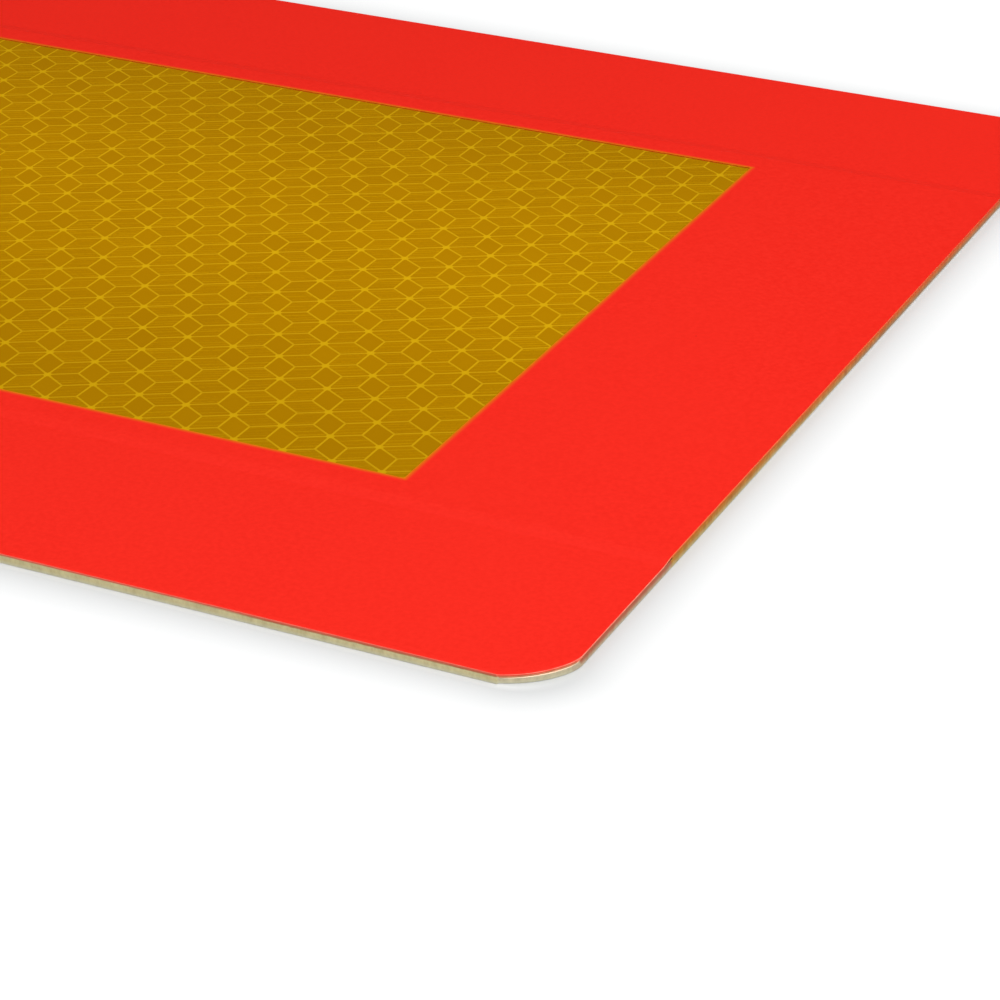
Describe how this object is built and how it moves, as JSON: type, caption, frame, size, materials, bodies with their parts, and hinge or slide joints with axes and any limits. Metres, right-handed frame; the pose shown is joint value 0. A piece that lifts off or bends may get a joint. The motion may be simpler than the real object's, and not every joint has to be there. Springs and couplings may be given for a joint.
{
  "type": "vehicle rear marker board",
  "caption": "Flat rear marker board for a trailer: aluminium sheet with a yellow retroreflective prism strip inside a red fluorescent film frame, punched corners and no holes.",
  "frame": {"origin": "middle of the back face", "axes": "+X along the board's length, +Y across it from the front edge of the picture to the back one, +Z out of the marked face"},
  "size_m": [0.565, 0.2, 0.0016],
  "materials": {
    "plate_aluminium": "mill finish, sheared edges",
    "sheeting_adhesive": "soft pressure-sensitive adhesive",
    "sealing_film": "matt film",
    "seal_net": "welded lines",
    "prism_film": "clear film with cube-corner prisms",
    "yellow_face_film": "smooth front film",
    "frame_adhesive": "soft pressure-sensitive adhesive",
    "red_frame_film": "satin fluorescent film"
  },
  "bodies": {
    "root": {"backing_plate": "plate_aluminium", "sheeting_adhesive": "sheeting_adhesive", "sealing_film": "sealing_film", "seal_net": "seal_net", "prism_film": "prism_film", "sheeting_face_film": "yellow_face_film", "frame_adhesive": "frame_adhesive", "frame_film": "red_frame_film"}
  },
  "joints": []
}
